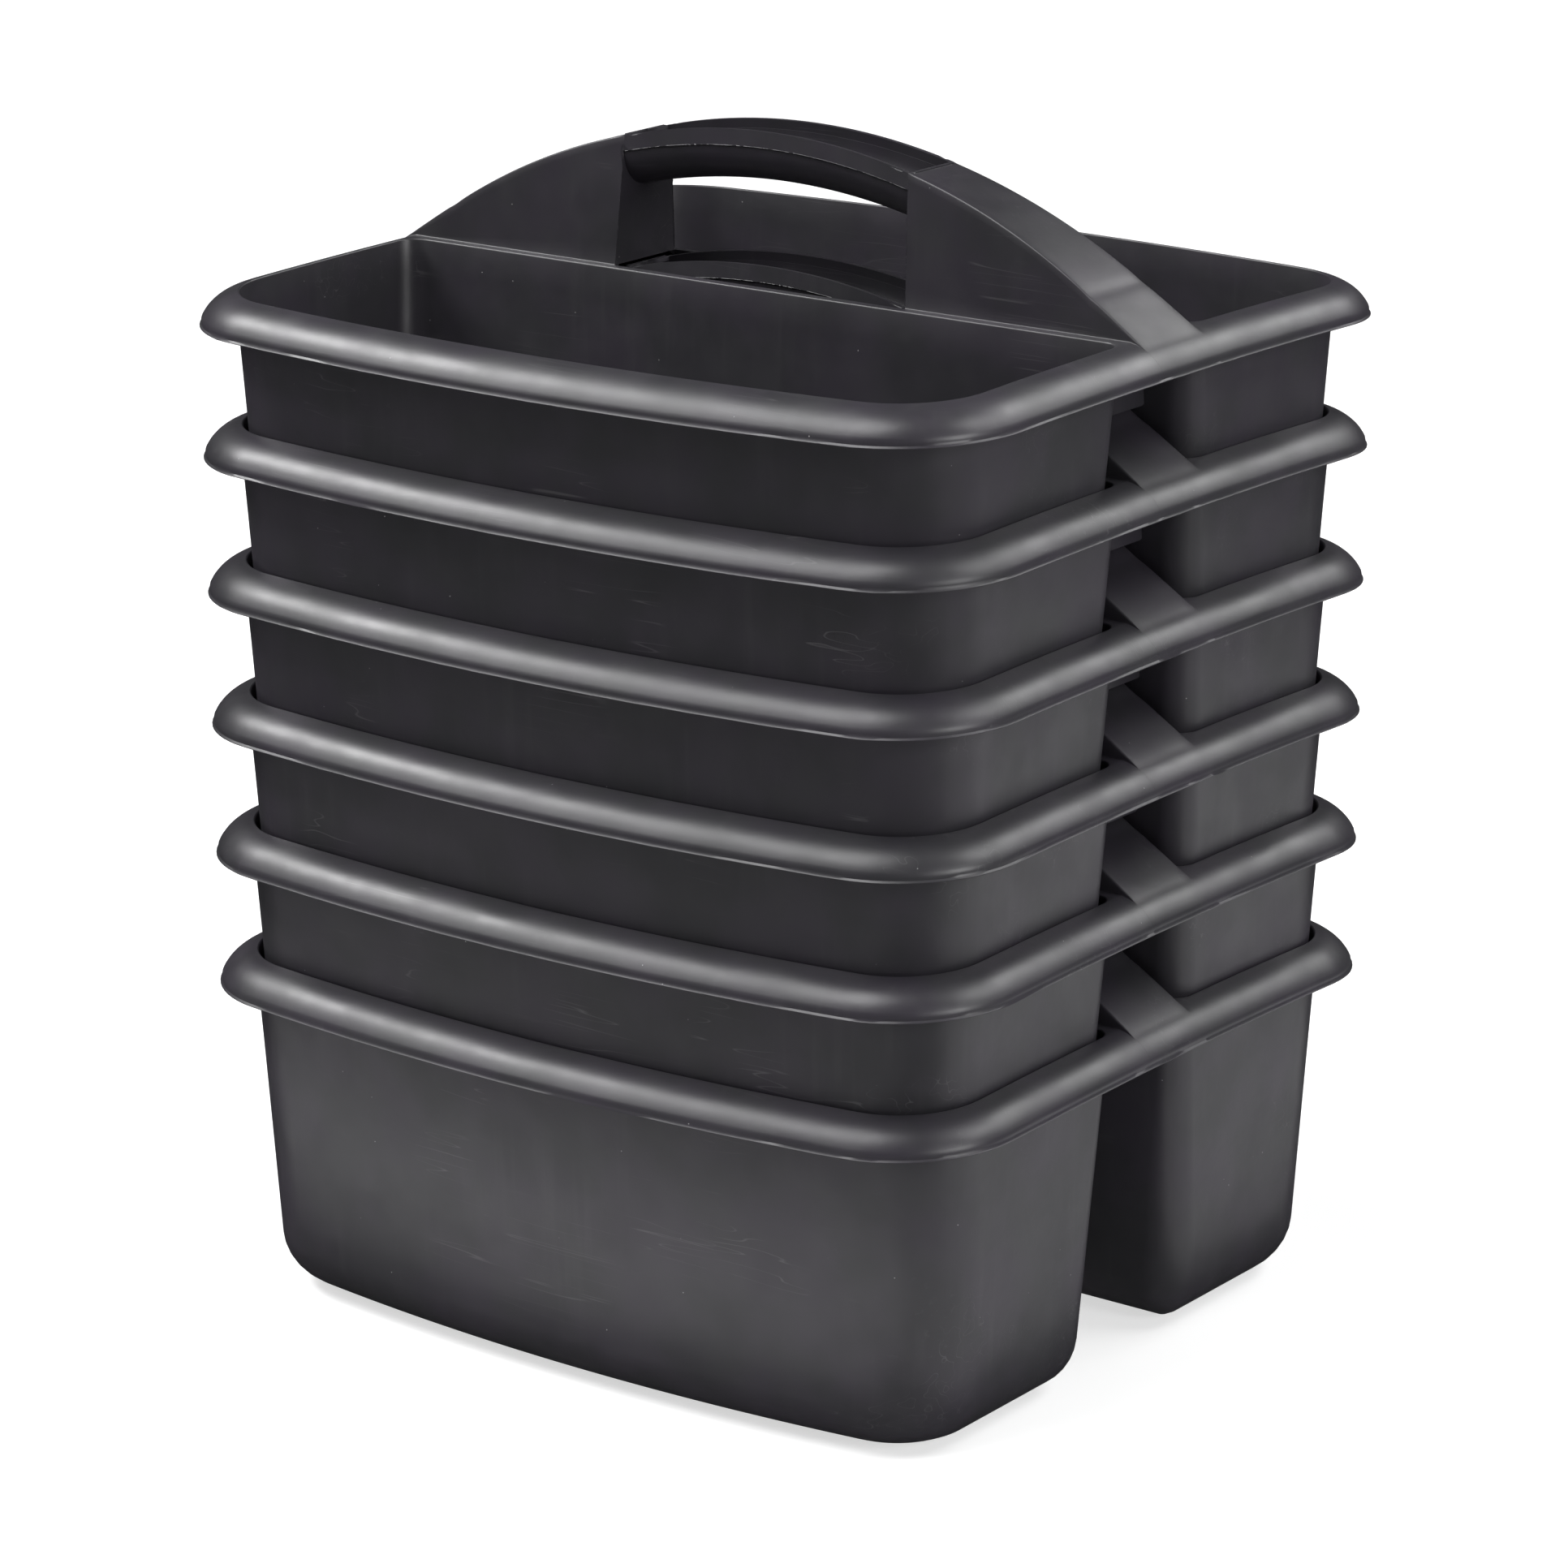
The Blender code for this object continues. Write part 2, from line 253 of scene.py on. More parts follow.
def add_bin(mesh):
    """Right half of the front bin, from its rounded upper edge to its floor."""
    levels = []
    for i in range(EDGE_STEPS):
        turn = pi / 2 * (1 - i / EDGE_STEPS)
        levels.append((EDGE_ROUND * (1 - sin(turn)), -EDGE_ROUND * (1 - cos(turn))))
    fillet_top = BIN_DEPTH - WALL - FLOOR_FILLET
    for i in range(WALL_LEVELS + 1):
        levels.append((EDGE_ROUND + (fillet_top - EDGE_ROUND) * i / WALL_LEVELS, 0.0))
    for i in range(1, FILLET_STEPS + 1):
        turn = pi / 2 * i / FILLET_STEPS
        levels.append((fillet_top + FLOOR_FILLET * sin(turn), FLOOR_FILLET * (1 - cos(turn))))
    levels.append((BIN_DEPTH - WALL, FLOOR_FILLET + FLOOR_MARGIN))

    rings = []
    for depth, inset in levels:
        divider, small, outer = bin_outline(depth, inset)
        ring = divider + small[1:] + outer[1:]
        crown = 1 - smooth(depth / CROWN_DEPTH)
        rings.append([
            Vector((p.x, p.y, -depth - crown * RIM_CROWN * (2 * p.y / RIM_DEPTH) ** 2))
            for p in ring])
    for upper, lower in zip(rings, rings[1:]):
        add_strip(mesh, upper, lower)
    mesh.faces.new([mesh.verts.new(p) for p in reversed(rings[-1])])


def section(x, base, top, lean=0.0):
    """The handle's cross-section at one place: ledge, foot fillet, face, edge and strap.

    base and top are the heights of the ledge and the strap; the roundings shrink where
    the face between them is low.
    """
    height = top - base
    share = min(1.0, height / (FOOT_FILLET + STRAP_ROUND + ROUND_MARGIN))
    foot = FOOT_FILLET * share
    edge = STRAP_ROUND * share * smooth((x - HOLE_HALF + ROUND_LEAD) / ROUND_RUN)
    half = face_half(height)
    ledge = [(-DIVIDER_HALF + EDGE_ROUND, 0.0)]
    for i in range(EDGE_STEPS):
        turn = pi / 2 * i / EDGE_STEPS
        ledge.append((-FOOT_HALF - foot * (1 - sin(turn)), foot * (1 - cos(turn))))
    face = []
    band = max(height - GRIP_BAND, 0.5 * height)
    low, high = foot, height - edge
    for i in range(FACE_STEPS + 1):
        face.append(low + (band - low) * i / FACE_STEPS)
    for i in range(1, BAND_STEPS + 1):
        face.append(band + (high - band) * i / BAND_STEPS)
    points = [crowned(x, y, base + z) for y, z in ledge]
    for z in face:
        points.append(Vector((x - lean * z, -face_half(z), base + z)))
    for i in range(1, EDGE_STEPS + 1):
        turn = pi / 2 * i / EDGE_STEPS
        y = -half + edge * (1 - cos(turn))
        points.append(Vector((x - lean * height, y, top - edge + edge * sin(turn))))
    inner = half - edge
    for i in range(1, STRAP_STEPS + 1):
        y = -inner * (1 - i / STRAP_STEPS)
        points.append(Vector((x - lean * height, y, top)))
    return points


def strap_top(x, rim_z):
    """Height of the strap's upper side, running out onto the rim near its end."""
    line = arch_height(min(x, STRAIGHT_X))
    if x > STRAIGHT_X:
        run = x - STRAIGHT_X
        slope = STRAIGHT_X / sqrt(ARCH_RADIUS ** 2 - STRAIGHT_X ** 2)
        line -= slope * run + STRAP_END_CURVE * run * run
    lift = line - rim_z
    fade = 1 - smooth((x - STRAP_END_X) / STRAP_END_RUN)
    sink = SINK_DEPTH * exp(-((x - SINK_X) / SINK_WIDTH) ** 2)
    return rim_z + max(lift, 0.0) * fade - sink * fade


def add_rim(mesh):
    """Right front quarter of the rim with the strap's end on it; returns its first row."""
    start = DIVIDER_HALF - EDGE_ROUND
    reach = DIVIDER_HALF + INNER_CORNER
    rows = []
    for out, z in rim_profile():
        x = TOP_A + out
        columns = section(x, z, strap_top(x, z))
        share = min(out / RIM_FLARE, 1.0)
        outer = half_outline(
            x, TOP_B + out, start, OUTER_CORNER + out,
            SMALL_RADIUS, BIN_BOW + (RIM_BOW - BIN_BOW) * share)[2]
        between = [Vector((x, -start - (reach - start) * i / HALF_CORNER_STEPS))
                   for i in range(1, HALF_CORNER_STEPS + 1)]
        around = [crowned(p.x, p.y, z) for p in between + outer[1:]]
        rows.append(columns[::-1] + around)
    for inner, outer in zip(rows, rows[1:]):
        add_strip(mesh, inner, outer)
    return rows[0]


def add_handle(mesh, rim_row):
    """The ledge, face and strap from the hand hole to the rim; returns the first section."""
    end = TOP_A + EDGE_ROUND
    places = ARCH_PLACES + [FLAT_END + (end - FLAT_END) * i / HALF_CORNER_STEPS
                            for i in range(1, HALF_CORNER_STEPS + 1)]
    sections = []
    for x in places:
        lean = WEB_LEAN * max(0.0, 1 - (x - HOLE_HALF) / LEAN_RUN)
        top = strap_top(x, 0.0)
        sections.append(section(x, 0.0, strap_top(x - lean * top, 0.0), lean))
    count = len(sections[0])
    sections[-1] = rim_row[:count][::-1]
    for near, far in zip(sections, sections[1:]):
        add_strip(mesh, near, far)

    # the rounded ledge round the bin's small corner
    border = [sections[ARCH_STEPS + i][0] for i in range(HALF_CORNER_STEPS + 1)]
    border += [rim_row[count + i] for i in range(HALF_CORNER_STEPS)]
    inner = [crowned(p.x, p.y, 0.0) for p in bin_outline(0.0, -EDGE_ROUND)[1]]
    add_strip(mesh, inner, border)
    return sections[0]


def add_hole_sides(mesh, first_section):
    """The ledge beside the hand hole, the band above it and the web at its end."""
    ledge_rows = []
    for x in HOLE_PLACES + [HOLE_HALF]:
        ledge_rows.append([crowned(x, -DIVIDER_HALF + EDGE_ROUND, 0.0),
                           crowned(x, -FOOT_HALF - FOOT_FILLET, 0.0)])
    for near, far in zip(ledge_rows, ledge_rows[1:]):
        add_strip(mesh, near, far)

    low = LEDGE_COUNT + FACE_STEPS
    joint = first_section[low:low + BAND_STEPS + 1]
    bands = []
    for i in range(HOLE_STEPS):
        row = []
        for j, p in enumerate(joint):
            x = p.x * (i / HOLE_STEPS)
            height = arch_height(x) - GRIP_BAND * (1 - j / BAND_STEPS)
            row.append(Vector((x, -face_half(height), height)))
        bands.append(row)
    bands.append(joint)
    for near, far in zip(bands, bands[1:]):
        add_strip(mesh, near, far)

    web = []
    for p in first_section[LEDGE_COUNT - EDGE_STEPS:STRAP_FIRST]:
        web.append([Vector((p.x, p.y * (1 - t / WEB_STEPS), p.z))
                    for t in range(WEB_STEPS + 1)])
    for near, far in zip(web, web[1:]):
        add_strip(mesh, near, far)


def caddy_skin():
    """The whole visible skin, from its right front quarter."""
    mesh = bmesh.new()
    add_bin(mesh)
    add_hole_sides(mesh, add_handle(mesh, add_rim(mesh)))
    bmesh.ops.remove_doubles(mesh, verts=mesh.verts, dist=MERGE)
    for axis in range(2):
        copy = bmesh.ops.duplicate(mesh, geom=mesh.verts[:] + mesh.edges[:] + mesh.faces[:])
        for item in copy["geom"]:
            if isinstance(item, bmesh.types.BMVert):
                item.co[axis] = -item.co[axis]
        flipped = [f for f in copy["geom"] if isinstance(f, bmesh.types.BMFace)]
        bmesh.ops.reverse_faces(mesh, faces=flipped)
        bmesh.ops.remove_doubles(mesh, verts=mesh.verts, dist=MERGE)
    bmesh.ops.recalc_face_normals(mesh, faces=mesh.faces)
    floor = min(mesh.faces, key=lambda f: f.calc_center_median().z)
    if floor.normal.z < 0:
        bmesh.ops.reverse_faces(mesh, faces=mesh.faces)
    # Band, face and web share an edge, where the step above can't tell the outside:
    # a web looks at the hand hole, and a band away from it.
    turned = []
    for face in mesh.faces:
        middle = face.calc_center_median()
        if middle.z < ABOVE_LEDGE or abs(middle.x) > HOLE_HALF:
            continue
        if abs(face.normal.x) > MOSTLY:
            if face.normal.x * middle.x > 0:
                turned.append(face)
        elif abs(face.normal.y) > MOSTLY and face.normal.y * middle.y < 0:
            turned.append(face)
    bmesh.ops.reverse_faces(mesh, faces=turned)
    return mesh


def roughen_lip(mesh, seed):
    """Slight unevenness of the lip's lower edge, as moulded parts have."""
    low = -RIM_DROP - LIP_HEIGHT
    for vertex in mesh.verts:
        p = vertex.co
        flat = p.z + RIM_CROWN * (2 * p.y / RIM_DEPTH) ** 2
        on_rim = max(abs(p.x) / TOP_A, abs(p.y) / TOP_B) > ON_RIM
        if on_rim and low - 0.0001 < flat < low + 0.0002:
            n = noise.noise(Vector((p.x * 160, p.y * 160, seed)))
            m = noise.noise(Vector((p.x * 900, p.y * 900, seed + 5)))
            vertex.co.z -= LIP_WAVE * max(n, 0.0) + LIP_NICK * max(m - 0.1, 0.0)


def grip_profile(x):
    """Closed cross-section of the grip's round part."""
    ridge = arch_height(x)
    low = ridge - GRIP_BAND
    loops = []
    for inset in (0.0, WALL):
        half = face_half(low) - GRIP_STEP - inset
        fall = GRIP_DEPTH - GRIP_BAND - inset
        turns = [pi * i / GRIP_ROUND_STEPS for i in range(GRIP_ROUND_STEPS + 1)]
        loop = [Vector((x, -half, low + GRIP_OVERLAP))]
        loop += [Vector((x, -half * cos(t), low - fall * sin(t))) for t in turns]
        loop.append(Vector((x, half, low + GRIP_OVERLAP)))
        loops.append(loop)
    return loops[0] + loops[1][::-1]


def grip_mesh():
    """The grip's round part, a half tube that is open upwards."""
    mesh = bmesh.new()
    end = HOLE_HALF - WEB_LEAN * WEB_TOP + INTO_WALL
    places = [-end + 2 * end * i / GRIP_STEPS for i in range(GRIP_STEPS + 1)]
    rings = [[mesh.verts.new(p) for p in grip_profile(x)] for x in places]
    count = len(rings[0])
    for near, far in zip(rings, rings[1:]):
        for i in range(count):
            j = (i + 1) % count
            mesh.faces.new((near[i], near[j], far[j], far[i]))
    for ring in (rings[0][::-1], rings[-1]):
        for i in range(count // 2 - 1):
            mesh.faces.new((ring[i], ring[i + 1], ring[count - 2 - i], ring[count - 1 - i]))
    bmesh.ops.recalc_face_normals(mesh, faces=mesh.faces)
    return mesh


def rib_mesh():
    """Both stacking ribs: plates between the bins with rounded lower edges."""
    mesh = bmesh.new()
    back = WALL - INTO_WALL
    for side in (-1, 1):
        faces = []
        for x in (RIB_X, RIB_X + RIB_THICKNESS):
            top = arch_height(x) - INTO_WALL
            corners = [
                (DIVIDER_HALF - DIVIDER_DRAFT * RIB_BOTTOM - back, RIB_BOTTOM),
                (DIVIDER_HALF - back, -WALL),
                (FOOT_HALF - back, -WALL + INTO_WALL),
                (face_half(top) - back, top),
            ]
            outline = corners + [(-y, z) for y, z in reversed(corners)]
            faces.append([mesh.verts.new((side * x, y, z)) for y, z in outline])
        near, far = faces
        mesh.faces.new(near)
        mesh.faces.new(far[::-1])
        for i in range(len(outline)):
            j = (i + 1) % len(outline)
            mesh.faces.new((near[j], near[i], far[i], far[j]))
    bmesh.ops.recalc_face_normals(mesh, faces=mesh.faces)
    low = [e for e in mesh.edges
           if all(abs(v.co.z - RIB_BOTTOM) < 1e-5 for v in e.verts)
           and abs(e.verts[0].co.x - e.verts[1].co.x) < 1e-6]
    bmesh.ops.bevel(mesh, geom=low, offset=RIB_ROUND, segments=3, affect="EDGES",
                    clamp_overlap=True)
    return mesh


def add_flash(mesh, path, out, side, height, width, seed):
    """A thin uneven sliver of mould flash that stands out from an edge."""
    rings = []
    for i, p in enumerate(path):
        n = noise.noise(Vector((i * 0.31, seed, 0.5)))
        m = noise.noise(Vector((i * 1.7, seed, 3.5)))
        tall = height * (0.25 + 0.6 * max(n + 0.25, 0.0) + 0.8 * max(m, 0.0))
        if i in (0, len(path) - 1):
            tall *= 0.2
        rings.append([mesh.verts.new(p - side * width / 2), mesh.verts.new(p + side * width / 2),
                      mesh.verts.new(p + out * tall)])
    for near, far in zip(rings, rings[1:]):
        for i in range(3):
            j = (i + 1) % 3
            mesh.faces.new((near[i], near[j], far[j], far[i]))
    mesh.faces.new(rings[0][::-1])
    mesh.faces.new(rings[-1])


def flash_mesh(seed):
    """Flash round the hand hole's front and rear edges."""
    mesh = bmesh.new()
    half = HOLE_HALF - FLASH_GAP
    for sign in (-1, 1):
        face = Vector((0, sign, 0))
        path = []
        for i in range(2 * FLASH_STEPS + 1):
            x = half * (2 * i / (2 * FLASH_STEPS) - 1)
            low = arch_height(x) - GRIP_BAND
            path.append(Vector((x, sign * (face_half(low) - FLASH_ROOT), low + FLASH_RISE)))
        add_flash(mesh, path, (face + Vector((0, 0, -0.25))).normalized(),
                  Vector((0, 0, 1)), FLASH_HEIGHT, FLASH_WIDTH, seed + sign)
        for end in (-1, 1):
            path = []
            for i in range(WEB_FLASH_STEPS + 1):
                z = WEB_FLASH_START + WEB_FLASH_LENGTH * i / WEB_FLASH_STEPS
                x = end * (HOLE_HALF - WEB_LEAN * z)
                path.append(Vector((x, sign * (face_half(z) - FLASH_ROOT), z)))
            add_flash(mesh, path, (Vector((-end * 0.5, 0, 0)) + face).normalized(),
                      Vector((1, 0, 0)), WEB_FLASH_HEIGHT, WEB_FLASH_WIDTH,
                      seed + 3 * sign + end)
    bmesh.ops.recalc_face_normals(mesh, faces=mesh.faces)
    return mesh


def finished(name, source, angle=35):
    """Mesh data from mesh code, shaded smooth up to an angle in degrees."""
    data = bpy.data.meshes.new(name)
    source.to_mesh(data)
    source.free()
    data.shade_smooth()
    data.set_sharp_from_angle(angle=radians(angle))
    return data


def placed(name, data):
    """An object in the scene with this data."""
    item = bpy.data.objects.new(name, data)
    bpy.context.scene.collection.objects.link(item)
    return item


def thickened(skin):
    """The skin with its wall thickness, as finished mesh data."""
    skin.normal_update()
    front = list(skin.verts)
    back = []
    for vertex in front:
        factor = min(vertex.calc_shell_factor(), MOST_SHELL)
        back.append(vertex.co - vertex.normal * WALL * factor)
    faces = list(skin.faces)
    border = [e for e in skin.edges if len(e.link_faces) == 1]
    index = {v: i for i, v in enumerate(front)}
    made = [skin.verts.new(p) for p in back]
    for face in faces:
        skin.faces.new([made[index[v]] for v in reversed(face.verts)])
    ridge = [e for e in border
             if all(abs(v.co.x) < RIDGE_SHARE * HOLE_HALF
                    and abs(v.co.z - arch_height(v.co.x)) < RIDGE_NEAR
                    for v in e.verts)]
    for edge in border:
        loop = edge.link_loops[0]
        a, b = loop.vert, loop.link_loop_next.vert
        skin.faces.new((b, a, made[index[a]], made[index[b]]))
    bmesh.ops.bevel(skin, geom=ridge, offset=GRIP_EDGE, segments=3, affect="EDGES",
                    clamp_overlap=True)
    return finished("skin", skin, angle=38)


# ---- material

class Nodes:
    """A new material, with short calls for building its node tree."""

    def __init__(self, name):
        self.material = bpy.data.materials.new(name)
        self.material.use_nodes = True
        self.tree = self.material.node_tree
        self.shader = self.tree.nodes["Principled BSDF"]

    def add(self, kind, **values):
        node = self.tree.nodes.new(kind)
        for key, value in values.items():
            setattr(node, key, value)
        return node

    def link(self, source, target):
        self.tree.links.new(source, target)

    def mapping(self, source, location=(0, 0, 0), rotation=(0, 0, 0), scale=(1, 1, 1)):
        node = self.add("ShaderNodeMapping")
        node.inputs["Location"].default_value = location
        node.inputs["Rotation"].default_value = rotation
        node.inputs["Scale"].default_value = scale
        self.link(source, node.inputs["Vector"])
        return node.outputs["Vector"]

    def noise(self, source, scale, detail=2.0, rough=0.5):
        node = self.add("ShaderNodeTexNoise")
        node.inputs["Scale"].default_value = scale
        node.inputs["Detail"].default_value = detail
        node.inputs["Roughness"].default_value = rough
        self.link(source, node.inputs["Vector"])
        return node.outputs["Fac"]

    def ramp(self, source, low, high, to_low=0.0, to_high=1.0):
        node = self.add("ShaderNodeMapRange")
        node.interpolation_type = "SMOOTHSTEP"
        node.inputs["From Min"].default_value = low
        node.inputs["From Max"].default_value = high
        node.inputs["To Min"].default_value = to_low
        node.inputs["To Max"].default_value = to_high
        self.link(source, node.inputs["Value"])
        return node.outputs["Result"]

    def math(self, operation, a, b=None):
        node = self.add("ShaderNodeMath", operation=operation)
        for socket, value in zip(node.inputs, (a, b)):
            if value is None:
                continue
            if isinstance(value, (int, float)):
                socket.default_value = value
            else:
                self.link(value, socket)
        return node.outputs["Value"]

    def mix(self, share, a, b):
        node = self.add("ShaderNodeMix", data_type="RGBA")
        self.link(share, node.inputs["Factor"])
        for name, value in (("A", a), ("B", b)):
            socket = [s for s in node.inputs if s.name == name and s.type == "RGBA"][0]
            if isinstance(value, tuple):
                socket.default_value = value
            else:
                self.link(value, socket)
        return [s for s in node.outputs if s.type == "RGBA"][0]


def plastic(name, seed):
    """Satin black moulded polypropylene with flow marks, scuffs, scratches and dust."""
    n = Nodes(name)
    place = n.add("ShaderNodeTexCoord").outputs["Object"]
    here = n.mapping(place, location=(seed * 0.371, seed * 0.173, seed * 0.257))

    # two near blacks in soft patches
    mottle = n.ramp(n.noise(here, 42, 3.0, 0.55), 0.36, 0.66)
    patches = n.ramp(n.noise(here, 130, 2.0), 0.35, 0.70)
    base = n.mix(mottle, (0.0204, 0.0198, 0.0230, 1), (0.0246, 0.0216, 0.0286, 1))
    base = n.mix(n.math("MULTIPLY", patches, 0.30), base, (0.0270, 0.0256, 0.0298, 1))

    # scuffs, where the stack has been rubbed
    streak_place = n.mapping(here, rotation=(0.3, 0.5, 0.7), scale=(34, 420, 420))
    streaks = n.ramp(n.noise(streak_place, 1.0, 3.0, 0.6), 0.60, 0.78)
    rubbed = n.ramp(n.noise(here, 19, 2.0), 0.52, 0.70)
    scuffs = n.math("MULTIPLY", streaks, rubbed)

    # upright flow marks of the moulding
    flow_place = n.mapping(here, scale=(310, 310, 11))
    flow = n.ramp(n.noise(flow_place, 1.0, 2.0, 0.55), 0.50, 0.74)
    flow = n.math("MULTIPLY", flow, n.ramp(n.noise(here, 24, 2.0), 0.40, 0.62))

    # fine scratches in two directions
    scratches = None
    for turn, stretch, mask_scale in (((0.2, 0.9, 0.4), 5, 33), ((1.1, 0.1, 2.2), 7, 27)):
        lines_place = n.mapping(here, rotation=turn, scale=(stretch, 260, 260))
        value = n.noise(lines_place, 1.0, 1.0)
        away = n.math("ABSOLUTE", n.math("SUBTRACT", value, 0.5))
        line = n.ramp(away, 0.0, 0.0075, 1.0, 0.0)
        mask = n.ramp(n.noise(here, mask_scale, 1.0), 0.60, 0.68)
        line = n.math("MULTIPLY", line, mask)
        scratches = line if scratches is None else n.math("MAXIMUM", scratches, line)

    # dust specks
    cells = n.add("ShaderNodeTexVoronoi", feature="F1")
    cells.inputs["Scale"].default_value = 300
    n.link(here, cells.inputs["Vector"])
    near = n.ramp(cells.outputs["Distance"], 0.030, 0.055, 1.0, 0.0)
    parts = n.add("ShaderNodeSeparateColor")
    n.link(cells.outputs["Color"], parts.inputs["Color"])
    chosen = n.ramp(parts.outputs["Red"], 0.90, 0.92)
    specks = n.math("MULTIPLY", near, chosen)

    base = n.mix(n.math("MULTIPLY", scuffs, 0.16), base, (0.085, 0.082, 0.086, 1))
    base = n.mix(n.math("MULTIPLY", flow, 0.15), base, (0.047, 0.046, 0.049, 1))
    base = n.mix(n.math("MULTIPLY", scratches, 0.20), base, (0.15, 0.148, 0.152, 1))
    base = n.mix(n.math("MULTIPLY", specks, 0.75), base, (0.34, 0.34, 0.34, 1))
    n.link(base, n.shader.inputs["Base Color"])

    rough = n.ramp(n.noise(here, 60, 4.0, 0.6), 0.30, 0.72, 0.36, 0.44)
    rough = n.math("ADD", rough, n.math("MULTIPLY", scuffs, 0.05))
    rough = n.math("ADD", rough, n.math("MULTIPLY", specks, 0.30))
    n.link(rough, n.shader.inputs["Roughness"])
    n.shader.inputs["IOR"].default_value = 1.49
    n.shader.inputs["Specular IOR Level"].default_value = 0.5

    # the surface: slow waves, a moulded texture, a fine grain and the scratches
    fine = n.noise(here, 2600, 2.0, 0.6)
    peel = n.noise(here, 330, 2.0)
    waves = n.noise(here, 48, 1.0)
    bump = None
    for height, strength, distance in (
            (waves, 0.35, 0.0012), (peel, 0.10, 0.0003), (fine, 0.10, 0.00006),
            (scratches, 0.20, 0.00002)):
        node = n.add("ShaderNodeBump")
        node.inputs["Strength"].default_value = strength
        node.inputs["Distance"].default_value = distance
        n.link(height, node.inputs["Height"])
        if bump is not None:
            n.link(bump, node.inputs["Normal"])
        bump = node.outputs["Normal"]
    n.link(bump, n.shader.inputs["Normal"])
    return n.material


# ---- the caddies

def build_caddies():
    """Six caddies of the same shape, each with its own lip, flash and material seed."""
    grip_data = finished("grip", grip_mesh())
    rib_data = finished("stacking_ribs", rib_mesh())
    for number, node in enumerate(sorted(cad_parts), start=1):
        rim_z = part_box(node)[0].z + BIN_DEPTH
        finish = plastic("black_plastic_%d" % number, number * 3.1)
        skin = caddy_skin()
        roughen_lip(skin, number * 7.3)
        shell = placed(node + "_moulding", thickened(skin))
        grip = placed(node + "_grip", grip_data.copy())
        ribs = placed(node + "_stacking_ribs", rib_data.copy())
        flash = placed(node + "_flash", finished("flash", flash_mesh(number * 2.7)))
        for piece in (shell, grip, ribs, flash):
            piece.location.z = rim_z
            piece.data.materials.append(finish)
            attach(piece, node)
        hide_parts(node)


build_caddies()


# ---- stage, light and camera

MIDDLE = (0.0, 0.0, 0.18)  # what the softboxes are aimed at
LIGHT_DISTANCE = 2.2
FLOOR_HALF = 6.0
FLOOR_Z = -0.0004  # just under the caddies, so that no faces coincide
FLOOR_GLOW = 0.62  # near the stack
FAR_GLOW = 1.0  # and from GLOW_FAR out
GLOW_NEAR = 1.3
GLOW_FAR = 3.0
BACKDROP_RADIUS = 3.4
REFLECTOR_Z = 0.004
CAMERA_BEARING = radians(36.82)
CAMERA_SLOPE = radians(16.70)
CAMERA_ROLL = radians(-0.116)
CAMERA_RIGHT = 0.000983  # from the camera to the middle of the top rim plane
CAMERA_UP = 0.123258
CAMERA_AHEAD = 1.387081
CAMERA_LENS = 130.66  # in mm, on a 36 mm sensor


def stage_material(name):
    """Matt grey that glows white; the caller says how strongly."""
    n = Nodes(name)
    n.shader.inputs["Base Color"].default_value = (0.5, 0.5, 0.5, 1)
    n.shader.inputs["Roughness"].default_value = 0.9
    n.shader.inputs["Specular IOR Level"].default_value = 0.1
    n.shader.inputs["Emission Color"].default_value = (1, 1, 1, 1)
    return n


def floor():
    """A pale floor, which glows to white in the distance."""
    mesh = bmesh.new()
    bmesh.ops.create_grid(mesh, x_segments=2, y_segments=2, size=FLOOR_HALF)
    item = placed("floor", finished("floor", mesh))
    item.location = (0, 0, FLOOR_Z)
    n = stage_material("floor_white")
    place = n.add("ShaderNodeTexCoord").outputs["Object"]
    distance = n.add("ShaderNodeVectorMath", operation="LENGTH")
    n.link(place, distance.inputs[0])
    glow = n.ramp(distance.outputs["Value"], GLOW_NEAR, GLOW_FAR, FLOOR_GLOW, FAR_GLOW)
    n.link(glow, n.shader.inputs["Emission Strength"])
    item.data.materials.append(n.material)
    item.visible_glossy = False


def backdrop():
    """A white surround beyond the lights, which only the camera sees."""
    mesh = bmesh.new()
    bmesh.ops.create_uvsphere(mesh, u_segments=48, v_segments=24, radius=BACKDROP_RADIUS)
    item = placed("backdrop", finished("backdrop", mesh))
    n = stage_material("backdrop_white")
    n.shader.inputs["Emission Strength"].default_value = 1.0
    item.data.materials.append(n.material)
    item.visible_diffuse = False
    item.visible_glossy = False
    item.visible_shadow = False


def area(name, place, target, size, power):
    """An area light that the camera doesn't see; size is its two sides, power in watts."""
    data = bpy.data.lights.new(name, "AREA")
    data.shape = "RECTANGLE"
    data.size, data.size_y = size
    data.energy = power
    item = placed(name, data)
    item.location = place
    item.rotation_mode = "QUATERNION"
    aim = Vector(target) - Vector(place)
    item.rotation_quaternion = aim.to_track_quat("-Z", "Y")
    item.visible_camera = False


def softbox(name, bearing, height, side, power):
    """A square softbox aimed at the stack; bearing and height are degrees from the front."""
    turn, rise = radians(bearing), radians(height)
    way = Vector((sin(turn) * cos(rise), -cos(turn) * cos(rise), sin(rise)))
    area(name, Vector(MIDDLE) + way * LIGHT_DISTANCE, MIDDLE, (side, side), power)


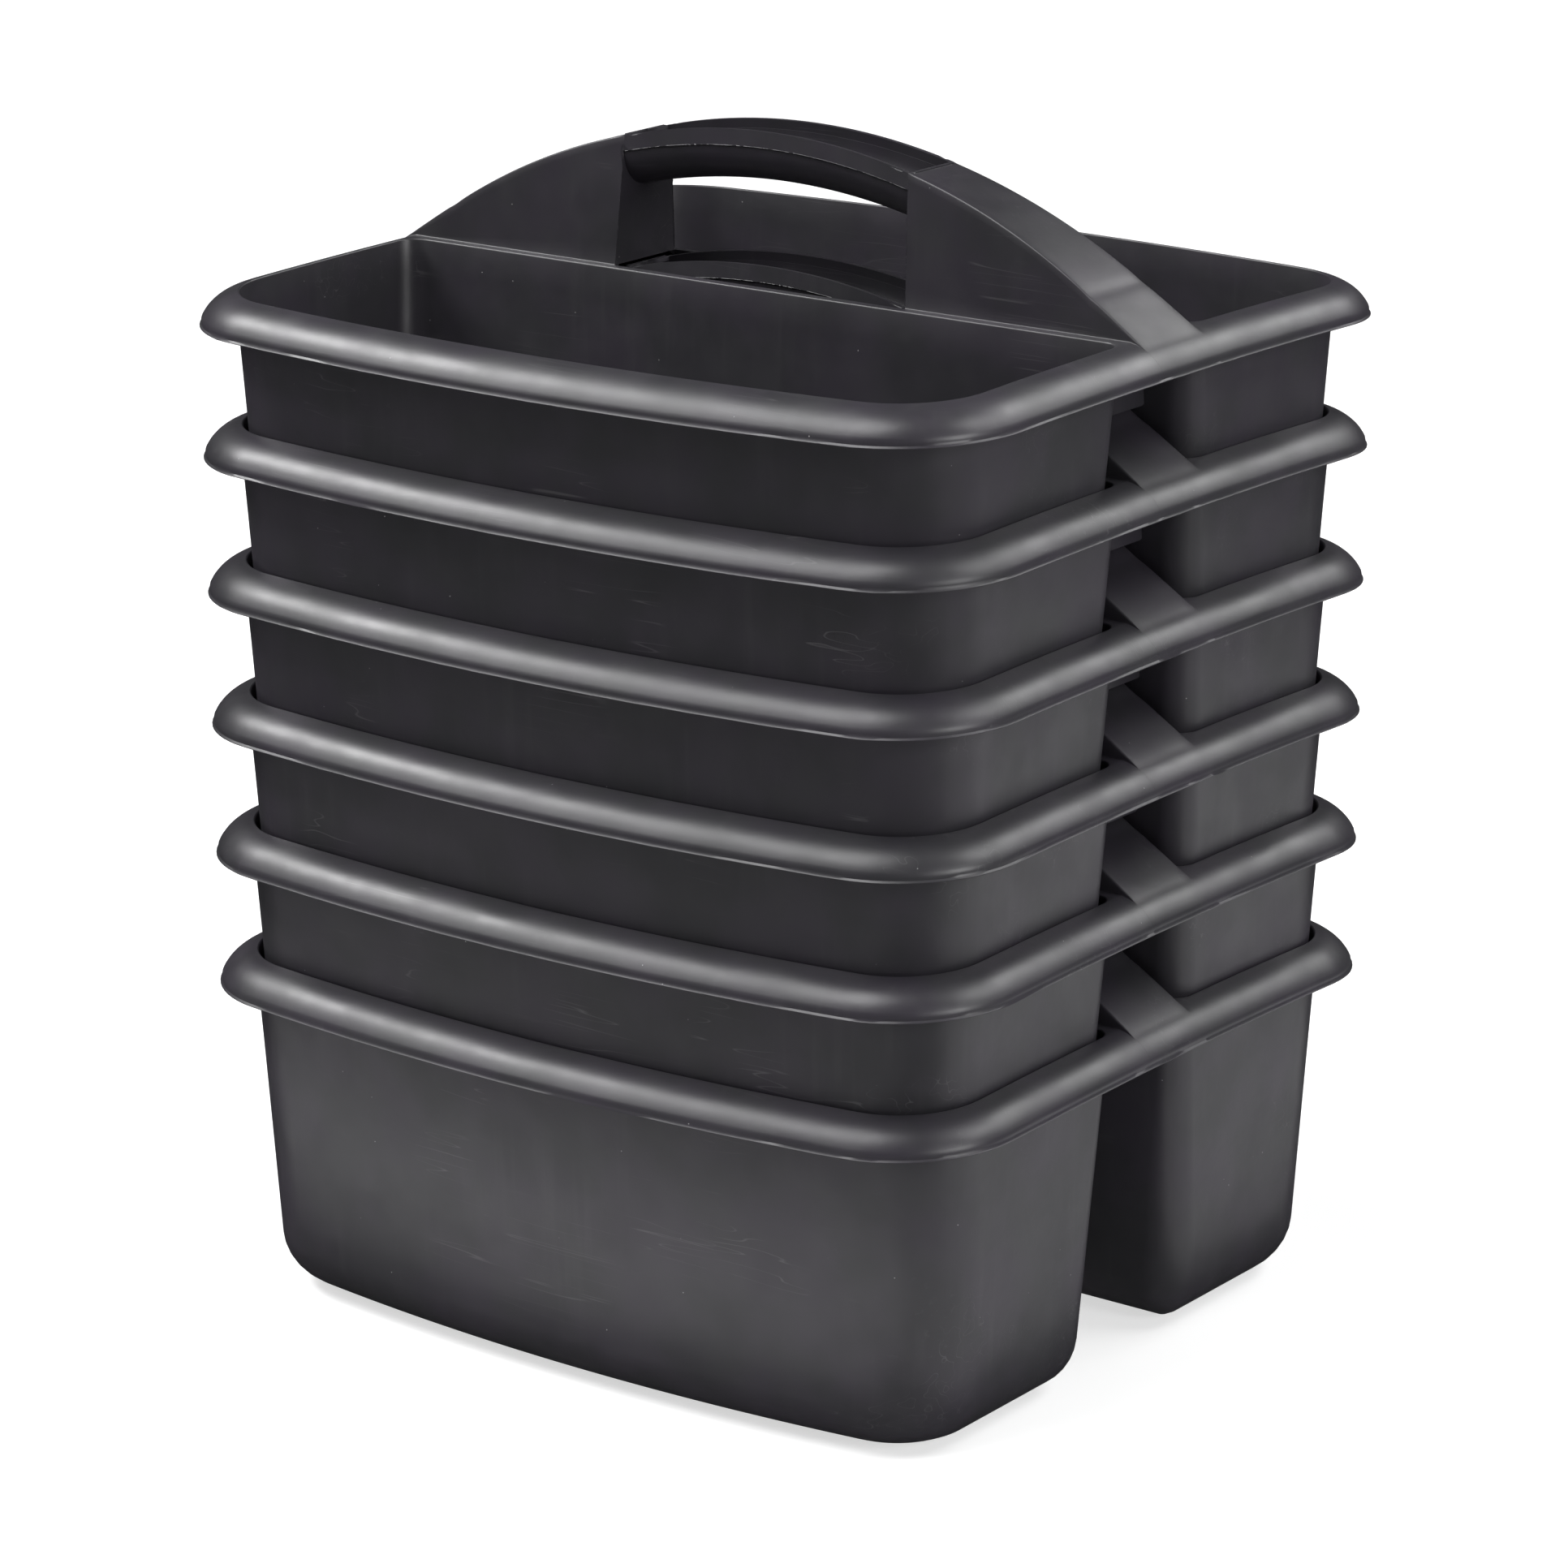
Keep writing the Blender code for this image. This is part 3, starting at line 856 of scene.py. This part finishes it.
def reflector(name, x, y, size, power):
    """A low reflector beside the base, facing up."""
    area(name, (x, y, REFLECTOR_Z), (x, y, 1.0), size, power)


def studio():
    """Softboxes, low reflectors and a faint even light."""
    world = bpy.data.worlds.new("studio")
    world.use_nodes = True
    background = world.node_tree.nodes["Background"]
    background.inputs["Color"].default_value = (1, 1, 1, 1)
    background.inputs["Strength"].default_value = 0.02
    bpy.context.scene.world = world
    softbox("front_left", 315, 36, 1.1, 15.5)
    softbox("top_left", 337.5, 62, 1.1, 37.0)
    softbox("left", 285, 44, 0.6, 33.7)
    softbox("rear", 167, 38, 0.6, 10.0)
    softbox("rear_right", 150, 34, 0.8, 9.0)
    softbox("right_high", 120, 50, 0.9, 18.5)
    softbox("right", 80, 20, 0.9, 23.8)
    reflector("reflector_right", 0.36, 0.05, (0.28, 0.28), 0.28)
    reflector("reflector_rear", 0.36, 0.33, (0.28, 0.28), 0.35)
    reflector("reflector_front", -0.08, -0.235, (0.46, 0.20), 0.13)
    reflector("reflector_foot_front", -0.05, -0.16, (0.40, 0.08), 0.098)
    reflector("reflector_foot_right", 0.165, 0.05, (0.08, 0.40), 0.077)
    bpy.context.scene.view_settings.view_transform = "Standard"


def camera():
    """The camera, on its own bearing and slope from the top caddy's rim plane."""
    forward = Vector((-sin(CAMERA_BEARING) * cos(CAMERA_SLOPE),
                      cos(CAMERA_BEARING) * cos(CAMERA_SLOPE), -sin(CAMERA_SLOPE)))
    right = Vector((cos(CAMERA_BEARING), sin(CAMERA_BEARING), 0))
    up = right.cross(forward)
    top = Vector((0, 0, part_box(sorted(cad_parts)[-1])[0].z + BIN_DEPTH))
    place = top - right * CAMERA_RIGHT - up * CAMERA_UP - forward * CAMERA_AHEAD
    data = bpy.data.cameras.new("camera")
    data.lens = CAMERA_LENS
    data.sensor_width = 36
    data.clip_end = 50
    item = placed("camera", data)
    turn = Matrix((right, up, -forward)).transposed().to_4x4()
    roll = Matrix.Rotation(CAMERA_ROLL, 4, "Z")
    item.matrix_world = Matrix.Translation(place) @ turn @ roll
    bpy.context.scene.camera = item


floor()
backdrop()
studio()
camera()
